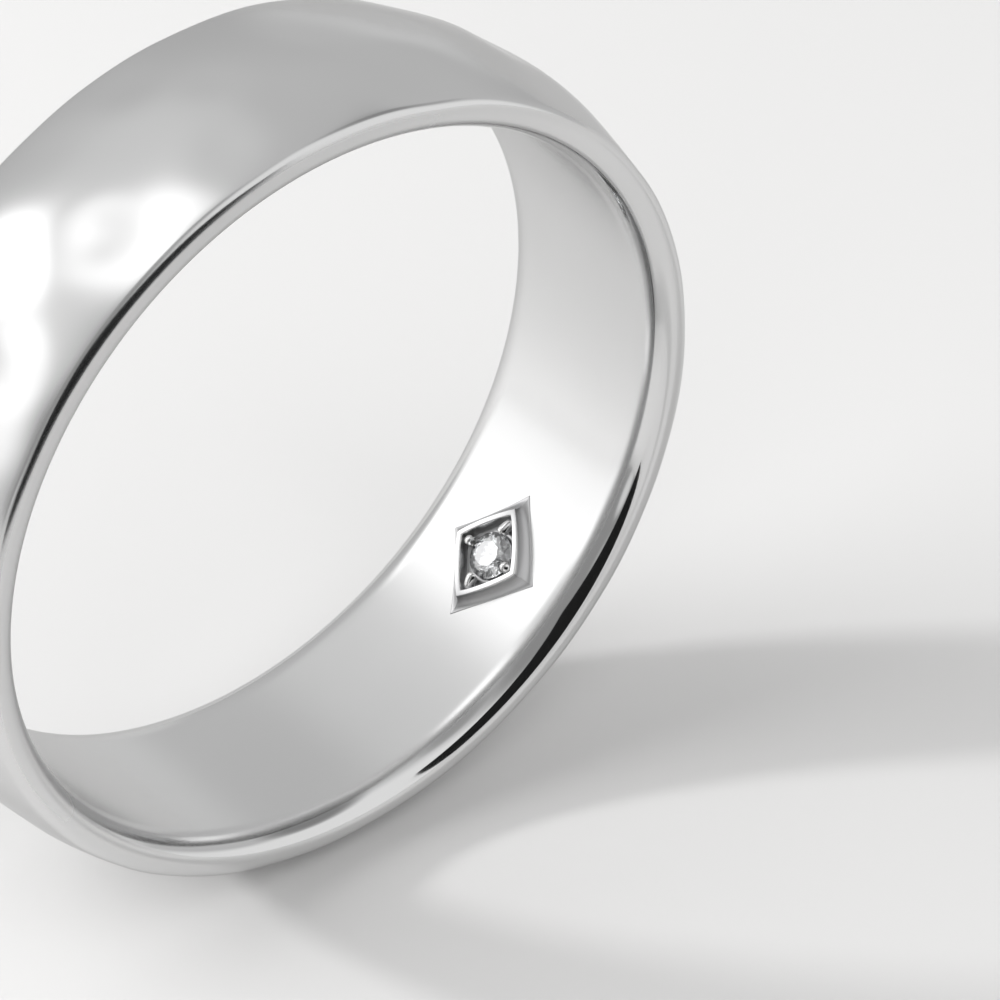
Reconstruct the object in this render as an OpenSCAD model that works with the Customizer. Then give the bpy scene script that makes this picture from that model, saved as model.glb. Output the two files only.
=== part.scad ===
// Wedding band with a small lozenge setting on its inner face, holding one round stone.
// The band stands on its rim: its axis runs along Y, +Z is up, and the origin is the centre
// of the finger opening.

/* [Band] */
// Inner diameter of the band
inner_d = 18.0; // [16.4:0.2:21.4]
// Width of the band, face to face
band_w = 5.6; // [5:0.1:8]
// Thickness of the band at its crest
band_t = 1.34; // [1.25:0.01:2.2]
// Radial height of the narrow flat face on each side
side_h = 0.36; // [0.25:0.01:0.5]
// Width of the eased inner edge, along the axis
ease_w = 0.60; // [0.3:0.02:0.8]
// Height of the eased inner edge, along the radius
ease_h = 0.30; // [0.15:0.01:0.4]

/* [Lozenge setting] */
// Angle of the setting from the lowest point of the band, towards +X
setting_angle = 44.2; // [0:0.1:180]
// Length of the foot of the setting, round the band
foot_l = 3.47; // [3:0.01:4]
// Width of the foot of the setting, along the axis
foot_w = 2.97; // [2.6:0.01:3.4]
// Length of the rim at the top, round the band
rim_l = 2.58; // [2.5:0.01:2.8]
// Width of the rim at the top, along the axis
rim_w = 2.18; // [2.1:0.01:2.4]
// Thickness of the rim
rim_t = 0.085; // [0.06:0.005:0.12]
// Height of the rim above the inner face of the band
rim_h = 0.38; // [0.34:0.01:0.5]
// Radius of the hollow of the four walls
cove_r = 0.40; // [0.36:0.01:0.8]

/* [Stone and claws] */
// Diameter of the stone
stone_d = 1.20; // [1:0.01:1.25]
// Thickness of a claw's stem
claw_d = 0.19; // [0.14:0.01:0.2]
// Diameter of the bead on a claw's tip
bead_d = 0.22; // [0.18:0.01:0.24]

/* [Hidden] */
$fn = 96;
band_fn = 180;
claw_fn = 32;

inner_r = inner_d / 2;
crest_r = inner_r + band_t;
half_w = band_w / 2;

// The dome is one arc through the crest and the outer corners of the two side faces.
side_top_r = inner_r + ease_h + side_h;
dome_rise = crest_r - side_top_r;
dome_r = (half_w * half_w + dome_rise * dome_rise) / (2 * dome_rise);
past_crest_r = crest_r + 1;

// The peg of the setting fills a blind hole in the band.
peg_r = 1.04;
peg_depth = 0.66;

// Levels of the setting, above the inner face of the band. The face curves up by tip_z at the
// two tips that lie round the band.
tip_z = inner_r - sqrt(inner_r * inner_r - foot_l * foot_l / 4);
foot_edge_t = 0.012;
floor_z = 0.08;
girdle_z = 0.13;
girdle_t = 0.03;

// Proportions of the stone.
stone_r = stone_d / 2;
table_r = 0.56 * stone_r;
crown_h = 0.29 * stone_r;
pavilion_h = 0.86 * stone_r;

// The seat is cut to the pavilion's slope, this much lower than the stone.
seat_gap = 0.02;
drill_r = 0.25;

// Stems stand in drilled holes in the pit's corners, and the beads lean on the crown.
claw_r = claw_d / 2;
bead_r = bead_d / 2;
claw_root_z = -0.34;
claw_bend_z = 0.15;
bead_z = 0.265;
axial_stem = 0.73;
axial_bead = 0.655;
circ_stem = 0.90;
circ_bead = 0.665;

// Distance from the middle of a lozenge to its sides.
function apothem(l, w) = l * w / (2 * sqrt(l * l + w * w));

// Direction of a lozenge side's normal, from its long diagonal.
function side_angle(l, w) = atan2(l, w);

// Centre of the circle of radius r through two points, on the side away from the setting.
function cove_centre(p, q, r) =
    let (mid = (p + q) / 2, half = norm(q - p) / 2, dir = (q - p) / norm(q - p))
    mid + sqrt(r * r - half * half) * [dir[1], -dir[0]];

// Puts its children on the band's inner face, with +Z towards the finger.
module at_setting() {
    rotate([0, -setting_angle, 0])
        translate([0, 0, -inner_r])
            children();
}

module lozenge(l, w) {
    polygon([[l / 2, 0], [0, w / 2], [-l / 2, 0], [0, -w / 2]]);
}

// The band's section as radius and width, with one of its two inner edges eased.
module one_eased_section() {
    intersection() {
        translate([crest_r - dome_r, 0])
            circle(r = dome_r, $fn = band_fn);
        polygon([
            [inner_r, -half_w],
            [past_crest_r, -half_w],
            [past_crest_r, half_w],
            [inner_r + ease_h, half_w],
            [inner_r, half_w - ease_w],
        ]);
    }
}

module section() {
    intersection() {
        one_eased_section();
        mirror([0, 1]) one_eased_section();
    }
}

// The peg runs up into the setting, where the pit and the walls cut it off.
module peg() {
    translate([0, 0, -peg_depth])
        cylinder(r = peg_r, h = peg_depth + rim_h / 2);
}

module band() {
    color("silver")
        difference() {
            rotate([90, 0, 0])
                rotate_extrude($fn = band_fn) section();
            at_setting() peg();
        }
}

// The space inside the band's inner face.
module finger_space() {
    translate([0, 0, inner_r])
        rotate([90, 0, 0])
            cylinder(r = inner_r, h = 2 * foot_w, center = true, $fn = band_fn);
}

// Hollows the four walls, from the edge of the foot up to the rim. Each hollow is tilted to
// follow the foot, which rises with the band's inner face towards the tips round the band.
module coves() {
    side_share = foot_w * foot_w / (foot_l * foot_l + foot_w * foot_w);
    foot = [apothem(foot_l, foot_w), tip_z * side_share + foot_edge_t];
    rim = [apothem(rim_l, rim_w), rim_h];
    centre = cove_centre(foot, rim, cove_r);
    tilt = atan2(tip_z, norm([foot_l, foot_w]) / 2);
    for (x = [0, 1], y = [0, 1])
        mirror([x, 0, 0])
            mirror([0, y, 0])
                rotate([0, 0, side_angle(foot_l, foot_w)])
                    translate([centre[0], 0, centre[1]])
                        rotate([90 - tilt, 0, 0])
                            cylinder(r = cove_r, h = 2 * foot_l, center = true);
}

module pit() {
    scale_to = 1 - rim_t / apothem(rim_l, rim_w);
    translate([0, 0, floor_z])
        linear_extrude(rim_h)
            lozenge(rim_l * scale_to, rim_w * scale_to);
}

// A cone along the pavilion down to the drilled hole, which is open a little below the culet.
module stone_seat() {
    slope = pavilion_h / stone_r;
    culet_z = girdle_z - pavilion_h - seat_gap;
    cone_top = floor_z + seat_gap;
    translate([0, 0, culet_z])
        cylinder(r1 = 0, r2 = (cone_top - culet_z) / slope, h = cone_top - culet_z);
    translate([0, 0, culet_z - seat_gap])
        cylinder(r = drill_r, h = cone_top - culet_z);
}

module lozenge_setting() {
    color("gainsboro")
        at_setting()
            difference() {
                union() {
                    intersection() {
                        linear_extrude(rim_h) lozenge(foot_l, foot_w);
                        finger_space();
                    }
                    peg();
                }
                coves();
                pit();
                stone_seat();
                claw_holes();
            }
}

// Holes for the four stems: one towards each tip of the lozenge.
module claw_holes() {
    for (place = [[0, circ_stem], [90, axial_stem], [180, circ_stem], [270, axial_stem]])
        rotate([0, 0, place[0]])
            translate([place[1], 0, claw_root_z])
                cylinder(r = claw_r, h = floor_z + seat_gap - claw_root_z);
}

// One claw along local +X: a straight stem, a bend, and a leaning neck that ends in a bead.
module claw(stem, bead) {
    lean = atan2(bead - stem, bead_z - claw_bend_z);
    neck = norm([bead - stem, bead_z - claw_bend_z]);
    translate([stem, 0, claw_root_z])
        cylinder(r = claw_r, h = claw_bend_z - claw_root_z, $fn = claw_fn);
    translate([stem, 0, claw_bend_z])
        sphere(r = claw_r, $fn = claw_fn);
    translate([stem, 0, claw_bend_z])
        rotate([0, lean, 0])
            cylinder(r = claw_r, h = neck, $fn = claw_fn);
    translate([bead, 0, bead_z])
        sphere(r = bead_r, $fn = claw_fn);
}

module placed_claw(turn, stem, bead) {
    color("whitesmoke")
        at_setting()
            rotate([0, 0, turn])
                claw(stem, bead);
}

module claw_front() {
    placed_claw(270, axial_stem, axial_bead);
}

module claw_back() {
    placed_claw(90, axial_stem, axial_bead);
}

module claw_upper() {
    placed_claw(0, circ_stem, circ_bead);
}

module claw_lower() {
    placed_claw(180, circ_stem, circ_bead);
}

// Round stone: pavilion, girdle and crown, with its table towards the finger.
module diamond() {
    color("white")
        at_setting()
            translate([0, 0, girdle_z]) {
                translate([0, 0, -pavilion_h])
                    cylinder(r1 = 0, r2 = stone_r, h = pavilion_h);
                cylinder(r = stone_r, h = girdle_t);
                translate([0, 0, girdle_t])
                    cylinder(r1 = stone_r, r2 = table_r, h = crown_h);
            }
}

band();
lozenge_setting();
claw_front();
claw_back();
claw_upper();
claw_lower();
diamond();
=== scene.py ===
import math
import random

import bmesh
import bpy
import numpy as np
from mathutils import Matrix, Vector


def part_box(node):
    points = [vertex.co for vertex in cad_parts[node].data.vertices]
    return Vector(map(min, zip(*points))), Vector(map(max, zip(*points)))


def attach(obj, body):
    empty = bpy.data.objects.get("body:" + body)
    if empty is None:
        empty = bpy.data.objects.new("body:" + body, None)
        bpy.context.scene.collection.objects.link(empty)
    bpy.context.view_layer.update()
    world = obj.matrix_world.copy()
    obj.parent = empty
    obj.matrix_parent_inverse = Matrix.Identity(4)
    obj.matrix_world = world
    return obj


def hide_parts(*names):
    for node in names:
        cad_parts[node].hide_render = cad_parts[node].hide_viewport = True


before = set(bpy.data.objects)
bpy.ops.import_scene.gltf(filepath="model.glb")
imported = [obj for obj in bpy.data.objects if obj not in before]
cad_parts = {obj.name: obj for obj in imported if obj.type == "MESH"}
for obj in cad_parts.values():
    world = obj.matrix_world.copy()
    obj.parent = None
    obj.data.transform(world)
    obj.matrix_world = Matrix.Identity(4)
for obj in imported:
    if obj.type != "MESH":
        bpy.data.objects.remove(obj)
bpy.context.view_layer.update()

# Looks of the wedding band: polished white gold, softly hammered outside, with a small raised
# lozenge setting on its inner face that holds one brilliant in four claws.
#
# The band stands on its rim. Its axis runs along Y, its front face looks to -Y, +Z is up, and the
# origin is the centre of the finger opening. Lengths are in millimetres until they are multiplied
# by MM.

MM = 0.001

# ---------------------------------------------------------------- sizes

_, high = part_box("band")
CREST_R = high.x / MM            # outer radius at the crest of the dome
HALF_W = high.y / MM             # half the band's width
INNER_R = 9.0                    # radius of the finger opening

FLAT_HALF = 2.00                 # the inner face is a true cylinder out to here
NOSE_R = 0.40                    # radius of the rounded rim beside each side face
NOSE_RHO = 9.52                  # radius of the circle on which its centre lies
SHOULDER_R = 0.27                # rounding between the side face and the dome
SHOULDER_RHO = 9.66              # radius of the circle on which its centre lies
MARK_FADE = 0.35                 # the hammer marks reach full depth this far beyond NOSE_RHO

SETTING_ANGLE = math.radians(44.2)   # from the lowest point, towards +X
FOOT = (1.735, 1.485)            # half diagonals of the foot: round the band, along the axis
RIM = (1.29, 1.09)               # the same at the rim's outer edge
RIM_T = 0.135                    # thickness of the rim, square to a side
RIM_ROUND = 0.03                 # rounding of the rim's two edges
FOOT_POWER = 0.97                # shape of the foot, see outline()
RIM_POWER = 1.13                 # of the rim's outer edge
PIT_POWER = 1.12                 # of the pit
CIRCLE = 2                       # and of anything round
WALL_CURVE = 2.2                 # how late the walls turn upwards
WALL_HOLLOW = 0.10               # how much deeper they are hollowed halfway up
RIM_Z = 0.38                     # levels above the band's inner face
FLOOR_Z = 0.08
FLOOR_ROUND = 0.05               # rounding between the pit's walls and its floor
GIRDLE_Z = 0.13
FOOT_SINK = 0.02                 # the foot goes this far into the band
FOOT_EDGE = 0.006                # and its thin edge stands this far out of it
PEG_R = 0.95                     # the peg, and the blind hole in the band that it stands in
PEG_Z = -0.62
PEG_BEVEL = 0.03
PEG_HOLE_R = 0.96
PEG_HOLE_Z = -0.64
DRILL_R = 0.22                   # the drilled hole under the stone
DRILL_Z = -0.42
SEAT_Z = -0.26                   # where the stone's seat meets it
TIP_R = 0.01                     # the setting's two end faces are closed down to this radius

STONE_R = 0.60
GIRDLE_T = 0.03
AXIAL_CLAW = (0.73, 0.655)       # stem and bead from the middle, for the claws along the axis
ROUND_CLAW = (0.90, 0.665)       # and for those round the band

BAND_AROUND = 600                # points round the band
SETTING_AROUND = 160
HOLE_AROUND = 96
CLAW_AROUND = 28
CLAW_STEPS = 40                  # steps along a claw
WALL_STEPS = 16


# ---------------------------------------------------------------- mesh helpers

def mesh_object(name, verts, faces, smooth=True):
    """A mesh object from points in millimetres."""
    mesh = bpy.data.meshes.new(name)
    mesh.from_pydata([tuple(c * MM for c in v) for v in verts], [], faces)
    mesh.validate()
    bm = bmesh.new()
    bm.from_mesh(mesh)
    bmesh.ops.recalc_face_normals(bm, faces=bm.faces)
    bm.to_mesh(mesh)
    bm.free()
    if smooth:
        mesh.shade_smooth()
    else:
        mesh.shade_flat()
    obj = bpy.data.objects.new(name, mesh)
    bpy.context.scene.collection.objects.link(obj)
    return obj


def ring_faces(rings, around, closed=False):
    """Quads between rings of points, each with the same number of points around it."""
    faces = []
    for i in range(rings if closed else rings - 1):
        a = i * around
        b = (i + 1) % rings * around
        for j in range(around):
            k = (j + 1) % around
            faces.append((a + j, a + k, b + k, b + j))
    return faces


def capped_faces(rings, around):
    """The same, with the first and the last ring closed by one face each."""
    last = (rings - 1) * around
    return ring_faces(rings, around) + [tuple(range(around)), tuple(range(last, last + around))]


def arc(centre, radius, start, end, steps):
    """Points on an arc, from angle start to angle end, without the last one."""
    angles = np.linspace(start, end, steps, endpoint=False)
    return [(centre[0] + radius * math.cos(a), centre[1] + radius * math.sin(a)) for a in angles]


def mix(a, b, t):
    return a + (b - a) * t


def on_setting(x, y, z):
    """From the setting's own axes (round the band, along the axis, inwards) to the band's."""
    s, c = math.sin(SETTING_ANGLE), math.cos(SETTING_ANGLE)
    r = INNER_R - z
    return (x * c + r * s, y, x * s - r * c)


# ---------------------------------------------------------------- the band

def band_section():
    """Closed outline of the band's section as (axial, radial) points: a flat inner face, an eased
    inner edge, a rounded rim, a side face, a shoulder and a dome, each arc tangent to the next."""
    nose = (HALF_W - NOSE_R, NOSE_RHO)
    rise = NOSE_RHO - INNER_R
    ease_r = ((nose[0] - FLAT_HALF) ** 2 + rise ** 2 - NOSE_R ** 2) / (2 * (rise - NOSE_R))
    shoulder = (HALF_W - SHOULDER_R, SHOULDER_RHO)
    drop = SHOULDER_RHO - CREST_R
    dome_r = (SHOULDER_R ** 2 - shoulder[0] ** 2 - drop ** 2) / (2 * (drop + SHOULDER_R))
    ease = (FLAT_HALF, INNER_R + ease_r)
    dome = (0.0, CREST_R - dome_r)
    ease_end = math.atan2(nose[1] - ease[1], nose[0] - ease[0])
    dome_end = math.atan2(shoulder[1] - dome[1], shoulder[0] - dome[0])
    half = [(s, INNER_R) for s in np.linspace(0, FLAT_HALF, 12, endpoint=False)]
    half += arc(ease, ease_r, -math.pi / 2, ease_end, 14)
    half += arc(nose, NOSE_R, ease_end, 0, 9)
    half += [(HALF_W, rho) for rho in np.linspace(NOSE_RHO, SHOULDER_RHO, 2, endpoint=False)]
    half += arc(shoulder, SHOULDER_R, 0, dome_end, 10)
    half += arc(dome, dome_r, dome_end, math.pi / 2, 22) + [(0.0, CREST_R)]
    other = [(-s, rho) for s, rho in half[1:-1]]
    return half + other[::-1]


def hammer_marks():
    """Shallow dimples on the outside: (angle in degrees, axial place, radius, depth)."""
    marks = [(211.5, 1.2, 0.85, 0.100), (221.5, -0.2, 0.80, 0.120), (229, 1.1, 0.85, 0.120)]
    placed_from, placed_to, placed_above = 203, 236, -1
    per_row = 24
    random.seed(7)
    for row, place in enumerate((-1.9, -0.2, 1.5)):
        for i in range(per_row):
            angle = (i + 0.5 * (row % 2) + random.uniform(-0.25, 0.25)) * 360 / per_row
            if placed_from < angle < placed_to and place > placed_above:
                continue
            marks.append((angle, place + random.uniform(-0.4, 0.4), random.uniform(0.8, 1.3),
                          random.uniform(0.04, 0.09)))
    return marks


def make_band():
    """The band as a surface of revolution with dimples pressed into its outside."""
    section = np.array(band_section())
    angle = 2 * math.pi * np.arange(BAND_AROUND) / BAND_AROUND
    s, a = np.meshgrid(section[:, 0], angle, indexing="ij")
    rho = np.repeat(section[:, 1:2], BAND_AROUND, axis=1)
    outer = np.clip((rho - NOSE_RHO) / MARK_FADE, 0, 1)
    for place, axial, size, depth in hammer_marks():
        turn = (a - math.radians(place) + math.pi) % (2 * math.pi) - math.pi
        away = ((turn * CREST_R) ** 2 + (s - axial) ** 2) / size ** 2
        rho = rho - outer * depth * np.exp(-away)
    verts = np.stack([rho * np.sin(a), -s, -rho * np.cos(a)], axis=-1).reshape(-1, 3)
    faces = ring_faces(len(section), BAND_AROUND, closed=True)
    band = mesh_object("band_metal", verts.tolist(), faces)
    drill_peg_hole(band)
    return band


def drill_peg_hole(band):
    """Cuts the blind hole in the inner face that the setting's peg stands in."""
    verts = []
    for z in (PEG_HOLE_Z, RIM_Z):
        for j in range(HOLE_AROUND):
            a = 2 * math.pi * j / HOLE_AROUND
            verts.append(on_setting(PEG_HOLE_R * math.cos(a), PEG_HOLE_R * math.sin(a), z))
    drill = mesh_object("drill", verts, capped_faces(2, HOLE_AROUND))
    cut = band.modifiers.new("peg_hole", "BOOLEAN")
    cut.operation = "DIFFERENCE"
    cut.object = drill
    solid = band.data
    graph = bpy.context.evaluated_depsgraph_get()
    band.data = bpy.data.meshes.new_from_object(band.evaluated_get(graph))
    band.data.set_sharp_from_angle(angle=math.radians(40))
    band.modifiers.clear()
    bpy.data.meshes.remove(solid)
    bpy.data.meshes.remove(drill.data)


# ---------------------------------------------------------------- the setting

def outline(half_l, half_w, power):
    """Points of |x/l|^p + |y/w|^p = 1: a lozenge at power 1, an ellipse at 2, hollow below 1."""
    points = []
    for j in range(SETTING_AROUND):
        a = 2 * math.pi * j / SETTING_AROUND
        c, s = math.cos(a), math.sin(a)
        x = math.copysign(abs(c) ** (2 / power), c) * half_l
        y = math.copysign(abs(s) ** (2 / power), s) * half_w
        points.append((x, y))
    return points


def face_z(x):
    """Height of the band's inner face over its tangent plane at the setting's middle."""
    return INNER_R - math.sqrt(INNER_R ** 2 - x * x)


def ring(half_l, half_w, power, z, follow=0.0):
    """A ring of points; follow says how much it rises with the band's inner face."""
    return [on_setting(x, y, z + follow * face_z(x)) for x, y in outline(half_l, half_w, power)]


def round_ring(radius, z, follow=0.0):
    return ring(radius, radius, CIRCLE, z, follow)


def quarter_turns(first, steps):
    """Angles from first / steps of a quarter turn up to the whole quarter."""
    return [math.pi / 2 * i / steps for i in range(first, steps + 1)]


def foot_rings():
    """The peg, hidden in the band, and the foot's edge."""
    return [
        round_ring(TIP_R, PEG_Z),
        round_ring(PEG_R - PEG_BEVEL, PEG_Z),
        round_ring(PEG_R, PEG_Z + PEG_BEVEL),
        round_ring(PEG_R, -FOOT_SINK, 1),
        ring(*FOOT, FOOT_POWER, -FOOT_SINK, 1),
        ring(*FOOT, FOOT_POWER, FOOT_EDGE, 1),
    ]


def wall_rings():
    """The hollowed walls, from the foot up to the rim."""
    rings = []
    for i in range(1, WALL_STEPS + 1):
        inward = i / WALL_STEPS
        upward = inward ** WALL_CURVE
        inward *= 1 + WALL_HOLLOW * math.sin(math.pi * upward)
        power = mix(FOOT_POWER, RIM_POWER, min(inward, 1))
        rings.append(ring(mix(FOOT[0], RIM[0], inward), mix(FOOT[1], RIM[1], inward), power,
                          mix(2 * FOOT_EDGE, RIM_Z - RIM_ROUND, upward), 1 - upward))
    return rings


def rim_rings(pit, apothem):
    """The rim's outer edge and then its inner edge, both rounded."""
    rings = []
    for t in quarter_turns(1, 5):
        shrink = 1 - RIM_ROUND * (1 - math.cos(t)) / apothem
        rings.append(ring(RIM[0] * shrink, RIM[1] * shrink, RIM_POWER,
                          RIM_Z - RIM_ROUND * (1 - math.sin(t))))
    for t in quarter_turns(0, 5):
        grow = 1 + RIM_ROUND * (1 - math.sin(t)) / apothem
        rings.append(ring(pit[0] * grow, pit[1] * grow, PIT_POWER,
                          RIM_Z - RIM_ROUND * (1 - math.cos(t))))
    return rings


def pit_rings(pit):
    """The pit's walls, which lean in a little, its rounded corner and its floor."""
    rings = []
    wall_foot = FLOOR_Z + FLOOR_ROUND
    at_foot, at_floor = 0.95, 0.91     # size of the pit there, as a share of its size at the rim
    for i in range(1, 6):
        k = mix(1, at_foot, i / 5)
        rings.append(ring(pit[0] * k, pit[1] * k, PIT_POWER, mix(RIM_Z - RIM_ROUND, wall_foot, i / 5)))
    for t in quarter_turns(1, 4):
        k = mix(at_foot, at_floor, 1 - math.cos(t))
        rings.append(ring(pit[0] * k, pit[1] * k, PIT_POWER, FLOOR_Z + FLOOR_ROUND * (1 - math.sin(t))))
    for i in range(1, 6):
        t = i / 5
        rings.append(ring(mix(pit[0] * at_floor, STONE_R, t), mix(pit[1] * at_floor, STONE_R, t),
                          mix(PIT_POWER, CIRCLE, t), FLOOR_Z))
    return rings


def seat_rings():
    """The stone's seat and the drilled hole below it."""
    return [
        round_ring(STONE_R - 0.03, FLOOR_Z - 0.01),
        round_ring(DRILL_R, SEAT_Z),
        round_ring(DRILL_R, DRILL_Z),
        round_ring(TIP_R, DRILL_Z),
    ]


def make_setting():
    """One closed surface: up the outside from the peg, over the rim and down into the pit."""
    apothem = RIM[0] * RIM[1] / math.hypot(*RIM)
    pit = [h * (1 - RIM_T / apothem) for h in RIM]
    rings = foot_rings() + wall_rings() + rim_rings(pit, apothem) + pit_rings(pit) + seat_rings()
    verts = [p for points in rings for p in points]
    return mesh_object("setting_metal", verts, capped_faces(len(rings), SETTING_AROUND))


# ---------------------------------------------------------------- the claws

def spline(points, t):
    """Catmull-Rom curve through a list of numbers, at place t from 0 to len(points) - 1."""
    last = len(points) - 1
    k = min(int(t), last - 1)
    f = t - k
    a, b, c, d = points[max(k - 1, 0)], points[k], points[k + 1], points[min(k + 2, last)]
    square = (2 * a - 5 * b + 4 * c - d) * f * f
    cube = (3 * b - a - 3 * c + d) * f ** 3
    return 0.5 * (2 * b + (c - a) * f + square + cube)


def end_rounding(inset):
    """Share of a wire's thickness near its end, which is full from inset 1 onwards."""
    if inset >= 1:
        return 1.0
    return math.sqrt(max(0.0, 1 - (1 - inset) ** 2))


def make_claw(name, turn, stem, bead):
    """A wire that rises from the pit's corner, leans over the stone and ends in a bead."""
    reach = [stem, stem, stem - 0.01, mix(stem, bead, 0.45), bead, bead - 0.05]
    level = [-0.10, 0.10, 0.18, 0.245, 0.268, 0.262]
    thick = [0.12, 0.14, 0.15, 0.145, 0.155, 0.13]
    n = CLAW_STEPS
    places = [i / n * (len(reach) - 1) for i in range(n + 1)]
    path = [(spline(reach, t), spline(level, t)) for t in places]
    side = Vector((0, 1, 0))
    verts = []
    for i, (r, z) in enumerate(path):
        before, after = path[max(i - 1, 0)], path[min(i + 1, n)]
        along = Vector((after[0] - before[0], 0, after[1] - before[1])).normalized()
        across = along.cross(side)
        size = spline(thick, places[i]) * end_rounding(min(i, n - i) / 4)
        size = max(size, 0.004)
        for j in range(CLAW_AROUND):
            w = 2 * math.pi * j / CLAW_AROUND
            p = Vector((r, 0, z)) + (side * math.cos(w) + across * math.sin(w)) * size
            verts.append(on_setting(p.x * math.cos(turn) - p.y * math.sin(turn),
                                    p.x * math.sin(turn) + p.y * math.cos(turn), p.z))
    return mesh_object(name, verts, capped_faces(n + 1, CLAW_AROUND))


# ---------------------------------------------------------------- the stone

def make_stone():
    """A round brilliant: table, stars, kites, upper and lower girdle facets and pavilion mains."""
    table_r, star_r, lower_r = 0.56 * STONE_R, 0.79 * STONE_R, 0.24 * STONE_R
    crown_h, star_h = 0.29 * STONE_R, 0.15675 * STONE_R
    pavilion_h = 0.86 * STONE_R
    lower_h = 0.77 * pavilion_h
    verts = []

    def corners(n, radius, z, offset=0.0):
        """Adds n points round the stone, offset by a part of a step, and gives their numbers."""
        first = len(verts)
        for i in range(n):
            a = math.radians(9) + 2 * math.pi * (i + offset) / n
            verts.append(on_setting(radius * math.cos(a), radius * math.sin(a), GIRDLE_Z + z))
        return [first + i for i in range(n)]

    table = corners(8, table_r, GIRDLE_T + crown_h)
    star = corners(8, star_r, GIRDLE_T + star_h, 0.5)
    top = corners(16, STONE_R, GIRDLE_T)
    bottom = corners(16, STONE_R, 0)
    lower = corners(8, lower_r, -lower_h, 0.5)
    culet = corners(1, 0, -pavilion_h)[0]
    faces = [tuple(table)]
    for i in range(8):
        j = (i + 1) % 8
        faces.append((table[i], table[j], star[i]))
        faces.append((table[j], star[i], top[2 * j], star[j]))
        faces.append((star[i], top[2 * i + 1], top[2 * i]))
        faces.append((star[i], top[2 * j], top[2 * i + 1]))
        faces.append((lower[i], bottom[2 * i], bottom[2 * i + 1]))
        faces.append((lower[i], bottom[2 * i + 1], bottom[2 * j]))
        faces.append((culet, lower[i], bottom[2 * j], lower[j]))
    for i in range(16):
        j = (i + 1) % 16
        faces.append((top[i], top[j], bottom[j], bottom[i]))
    return mesh_object("brilliant", verts, faces, smooth=False)


# ---------------------------------------------------------------- node helpers

def feed(tree, socket, value):
    """Links an input to another node's output, or gives it a plain value."""
    if isinstance(value, bpy.types.NodeSocket):
        tree.links.new(value, socket)
    else:
        socket.default_value = value


def map_range(tree, value, start, end, low=0.0, high=1.0, smooth=False):
    """Takes value from the range start to end over to the range low to high, and stops there."""
    node = tree.nodes.new("ShaderNodeMapRange")
    if smooth:
        node.interpolation_type = "SMOOTHSTEP"
    feed(tree, node.inputs["Value"], value)
    feed(tree, node.inputs["From Min"], start)
    feed(tree, node.inputs["From Max"], end)
    feed(tree, node.inputs["To Min"], low)
    feed(tree, node.inputs["To Max"], high)
    return node.outputs["Result"]


def arithmetic(tree, operation, a, b):
    node = tree.nodes.new("ShaderNodeMath")
    node.operation = operation
    feed(tree, node.inputs[0], a)
    feed(tree, node.inputs[1], b)
    return node.outputs[0]


def vector_maths(tree, operation, a, b, result):
    node = tree.nodes.new("ShaderNodeVectorMath")
    node.operation = operation
    feed(tree, node.inputs[0], a)
    feed(tree, node.inputs[1], b)
    return node.outputs[result]


def blend(tree, kind, share, a, b):
    """From a to b by share; kind is FLOAT or RGBA."""
    node = tree.nodes.new("ShaderNodeMix")
    node.data_type = kind
    feed(tree, node.inputs["Factor"], share)
    feed(tree, node.inputs["A"], a)
    feed(tree, node.inputs["B"], b)
    return node.outputs["Result"]


def object_place(tree):
    return tree.nodes.new("ShaderNodeTexCoord").outputs["Object"]


def noise(tree, scale, detail):
    node = tree.nodes.new("ShaderNodeTexNoise")
    feed(tree, node.inputs["Vector"], object_place(tree))
    feed(tree, node.inputs["Scale"], scale)
    feed(tree, node.inputs["Detail"], detail)
    return node.outputs[0]


def axis_distance(tree):
    """Distance from the band's axis, in metres."""
    flat = vector_maths(tree, "MULTIPLY", object_place(tree), (1, 0, 1), "Vector")
    return vector_maths(tree, "LENGTH", flat, (0, 0, 0), "Value")


def grey(level, blue=0.0):
    return (level, level, level + blue, 1)


# ---------------------------------------------------------------- materials

def new_material(name):
    """A new material, with its node tree and its main shader."""
    mat = bpy.data.materials.new(name)
    mat.use_nodes = True
    return mat, mat.node_tree, mat.node_tree.nodes["Principled BSDF"]


def white_gold(name):
    """Metal with an edge tint, which keeps it from turning white where it is seen at a low angle."""
    mat, tree, bsdf = new_material(name)
    feed(tree, bsdf.inputs["Metallic"], 1.0)
    feed(tree, bsdf.inputs["Specular Tint"], grey(0.72))
    return mat, tree, bsdf


def polished(tree, level):
    """A grey with faint cloudy variation, as polishing leaves it."""
    return blend(tree, "RGBA", noise(tree, 250, 1), grey(level * 0.96), grey(level * 1.04))


def band_roughness(tree):
    """A satin inner face, a bright eased edge and a softly polished outside. The edge and, less so,
    the outside are duller on the upper left. The last factor is a fine grain."""
    radius = axis_distance(tree)
    face, eased = INNER_R * MM, (INNER_R + 0.12) * MM
    inside = map_range(tree, radius, face, eased, 0.24, 0.07)
    dome = map_range(tree, radius, 9.6 * MM, 10.0 * MM, 0.0, 0.09)
    polish = arithmetic(tree, "ADD", inside, dome)
    edge_wear = map_range(tree, radius, face, eased, 0.0, 0.36)
    wear = map_range(tree, radius, 9.6 * MM, 9.8 * MM, edge_wear, 0.08)
    upper_left = vector_maths(tree, "DOT_PRODUCT", object_place(tree), (-0.8, 0, 0.6), "Value")
    worn = map_range(tree, upper_left, -3 * MM, 9 * MM, 0.0, wear, smooth=True)
    grain = map_range(tree, noise(tree, 2500, 4), 0, 1, 0.95, 1.05)
    return arithmetic(tree, "MULTIPLY", arithmetic(tree, "ADD", polish, worn), grain)


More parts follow.
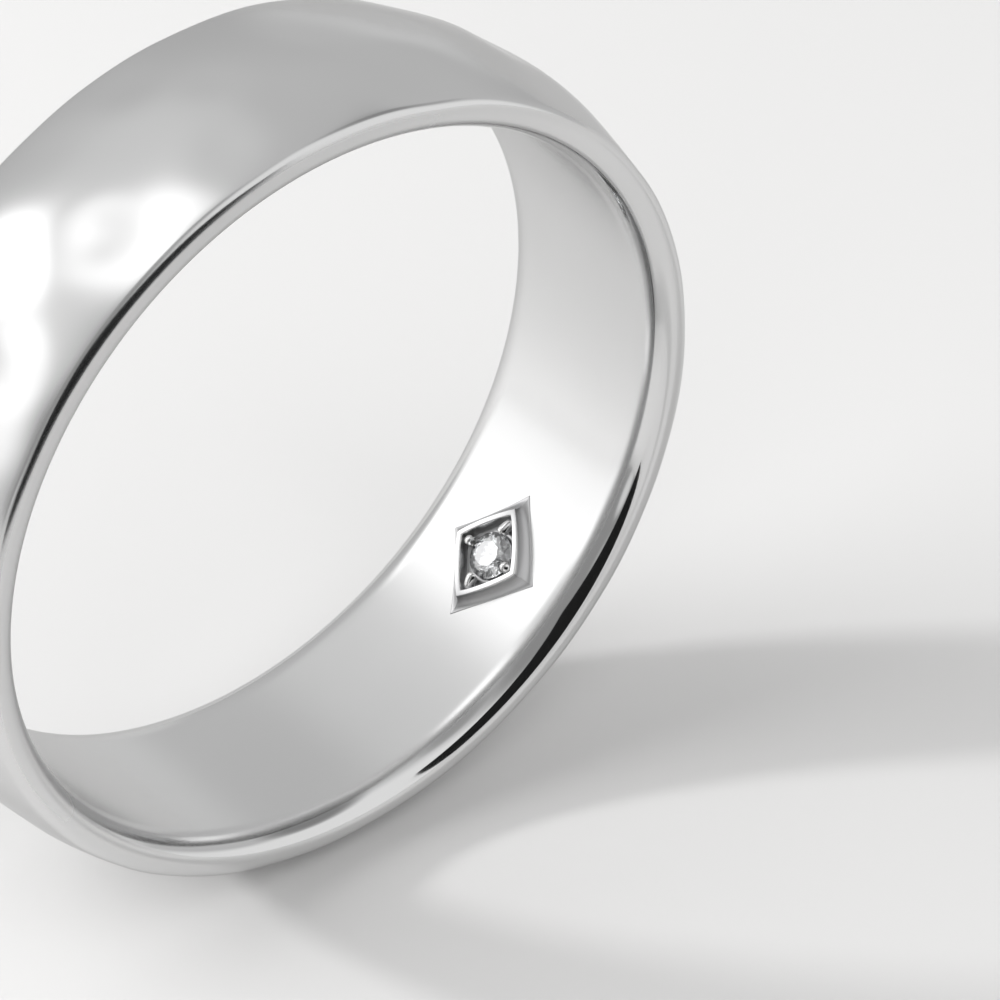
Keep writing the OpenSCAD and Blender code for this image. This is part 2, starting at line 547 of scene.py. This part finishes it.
def band_material():
    mat, tree, bsdf = white_gold("white_gold")
    feed(tree, bsdf.inputs["Base Color"], polished(tree, 0.72))
    feed(tree, bsdf.inputs["Roughness"], band_roughness(tree))
    return mat


def below_rim(tree, start, end):
    """Rises from 0 to 1 between two levels of the setting, which are counted down from its rim."""
    rim = INNER_R - RIM_Z
    return map_range(tree, axis_distance(tree), (rim + start) * MM, (rim + end) * MM)


def setting_material():
    """Painted highlight and painted shade: bright on the rim, dark and duller just below it, lighter
    again towards foot and floor.
    """
    mat, tree, bsdf = white_gold("white_gold_setting")
    # The rim's bright grey is a painted highlight. The dark grey just below the rim, which grows
    # lighter further down, is painted shade.
    depth = below_rim(tree, 0.02, 0.10)
    shade = blend(tree, "RGBA", below_rim(tree, 0.10, 0.26), grey(0.44, 0.005), grey(0.60, 0.005))
    feed(tree, bsdf.inputs["Base Color"], blend(tree, "RGBA", depth, grey(0.82), shade))
    feed(tree, bsdf.inputs["Roughness"], map_range(tree, depth, 0, 1, 0.2, 0.34))
    return mat


def claw_material():
    mat, tree, bsdf = white_gold("white_gold_claw")
    feed(tree, bsdf.inputs["Base Color"], polished(tree, 0.80))
    feed(tree, bsdf.inputs["Roughness"], 0.16)
    return mat


def stone_material():
    """Clear and strongly refracting, with some mirror in it to keep so small a stone bright."""
    mat, tree, bsdf = new_material("clear_stone")
    feed(tree, bsdf.inputs["Base Color"], (0.98, 0.99, 1.0, 1))
    feed(tree, bsdf.inputs["Roughness"], 0.0)
    feed(tree, bsdf.inputs["IOR"], 2.42)
    feed(tree, bsdf.inputs["Transmission Weight"], 1.0)
    feed(tree, bsdf.inputs["Metallic"], 0.35)
    return mat


# ---------------------------------------------------------------- stage

def direction(azimuth, elevation):
    """Unit vector; azimuth 0 is +Y and 90 is +X, elevation is above the horizon, in degrees."""
    a, e = math.radians(azimuth), math.radians(elevation)
    return Vector((math.sin(a) * math.cos(e), math.cos(a) * math.cos(e), math.sin(e)))


def add_object(name, data):
    obj = bpy.data.objects.new(name, data)
    bpy.context.scene.collection.objects.link(obj)
    return obj


SURROUND = 0.62                  # brightness of the studio between the patches
# azimuth, elevation, inner and outer radius in degrees, brightness
PATCHES = [
    (-58, 32, 18, 50, 0.88),
    (-10, 50, 10, 32, 0.78),
    (-50, 2, 12, 36, 1.40),
    (-34, 26, 8, 20, 1.9),
    (-42, 51, 3, 10, 1.30),
    (-52, 69, 8, 18, 1.9),
    (-63, 19, 3, 11, 1.8),
    (152, 40, 24, 42, 0.95),
    (140, 10, 20, 40, 0.95),
    (-112, 45, 10, 30, 0.33),
    (-98, 14, 19, 31, 0.34),
    (-107, 5, 1, 9, 0.80),
    (-119, 21, 1, 9, 0.50),
    (46, 3, 4, 16, 0.82),
    (95, 50, 7, 20, 0.28),
    (-128, 80, 5, 16, 0.40),
]


def make_world():
    """A plain studio: an even grey surround with soft bright and dark patches in it, each laid
    over the ones before it."""
    world = bpy.data.worlds.new("studio")
    bpy.context.scene.world = world
    world.use_nodes = True
    tree = world.node_tree
    looking = tree.nodes.new("ShaderNodeTexCoord").outputs["Generated"]
    total = SURROUND
    for azimuth, elevation, inner, outer, value in PATCHES:
        near = vector_maths(tree, "DOT_PRODUCT", looking, direction(azimuth, elevation), "Value")
        share = map_range(tree, near, math.cos(math.radians(outer)), math.cos(math.radians(inner)),
                          smooth=True)
        total = blend(tree, "FLOAT", share, total, value)
    background = tree.nodes["Background"]
    feed(tree, background.inputs["Strength"], total)
    feed(tree, background.inputs["Color"], grey(1))


def make_floor():
    """A pale, wide floor that the band stands on."""
    half = 400
    verts = [(x, y, -CREST_R) for x, y in ((-half, -half), (half, -half), (half, half), (-half, half))]
    floor = mesh_object("floor", verts, [(0, 1, 2, 3)])
    mat, tree, bsdf = new_material("pale_floor")
    feed(tree, bsdf.inputs["Base Color"], (0.59, 0.587, 0.584, 1))
    feed(tree, bsdf.inputs["Roughness"], 0.6)
    floor.data.materials.append(mat)


def make_dark_card():
    """A black card that stands on the floor round the camera; only the metal sees it."""
    away, width, height = 60, 94, 68
    middle = direction(-159, 0) * away
    side = Vector((-middle.y, middle.x, 0)).normalized() * width / 2
    base = Vector((0, 0, -CREST_R))
    verts = [middle - side + base, middle + side + base]
    verts += [v + Vector((0, 0, height)) for v in verts[::-1]]
    card = mesh_object("dark_card", verts, [(0, 1, 2, 3)], smooth=False)
    mat, tree, bsdf = new_material("black_card")
    feed(tree, bsdf.inputs["Base Color"], grey(0.012))
    feed(tree, bsdf.inputs["Roughness"], 0.9)
    feed(tree, bsdf.inputs["Specular IOR Level"], 0.0)
    card.data.materials.append(mat)
    card.visible_camera = False
    card.visible_diffuse = False
    card.visible_shadow = False


def make_side_light():
    """A soft lamp on the left that lets the floor darken towards the right."""
    light = bpy.data.lights.new("side", "AREA")
    light.energy = 0.053
    light.size = 70 * MM
    obj = add_object("side", light)
    obj.location = Vector((-58, 48, 52)) * MM
    obj.rotation_euler = obj.location.to_track_quat("Z", "Y").to_euler()
    obj.visible_glossy = False


def make_sun(name, azimuth, elevation, energy, width):
    """A distant lamp, width degrees across, that the metal doesn't mirror."""
    light = bpy.data.lights.new(name, "SUN")
    light.energy = energy
    light.angle = math.radians(width)
    obj = add_object(name, light)
    obj.rotation_euler = direction(azimuth, elevation).to_track_quat("Z", "Y").to_euler()
    obj.visible_glossy = False


def make_camera():
    """A long lens that looks down on the setting from the front left."""
    data = bpy.data.cameras.new("camera")
    data.sensor_width = 36
    data.lens = 168.75
    data.clip_start = 5 * MM
    camera = add_object("camera", data)
    target = Vector((3.375, -3.780, -1.016)) * MM
    distance = 106.59 * MM
    back = direction(-140.7, 37.75)
    camera.location = target + back * distance
    camera.rotation_mode = "QUATERNION"
    camera.rotation_quaternion = (-back).to_track_quat("-Z", "Y")
    bpy.context.scene.camera = camera


# ---------------------------------------------------------------- the scene

make_camera()
make_world()
make_sun("key", -43, 24, 2.05, 6)
make_sun("fill", -150, 40, 1.16, 60)
make_side_light()
make_floor()
make_dark_card()
bpy.context.scene.view_settings.view_transform = "Standard"

claw_mat = claw_material()

pieces = [
    (make_band(), "band", "band_metal", band_material()),
    (make_setting(), "lozenge_setting", "setting_metal", setting_material()),
    (make_claw("claw_front_wire", -math.pi / 2, *AXIAL_CLAW), "claw_front", "claw_metal", claw_mat),
    (make_claw("claw_back_wire", math.pi / 2, *AXIAL_CLAW), "claw_back", "claw_metal", claw_mat),
    (make_claw("claw_upper_wire", 0.0, *ROUND_CLAW), "claw_upper", "claw_metal", claw_mat),
    (make_claw("claw_lower_wire", math.pi, *ROUND_CLAW), "claw_lower", "claw_metal", claw_mat),
    (make_stone(), "diamond", "stone", stone_material()),
]
for piece, node, slot, mat in pieces:
    piece.data.materials.append(mat)
    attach(piece, "root")
    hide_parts(node)
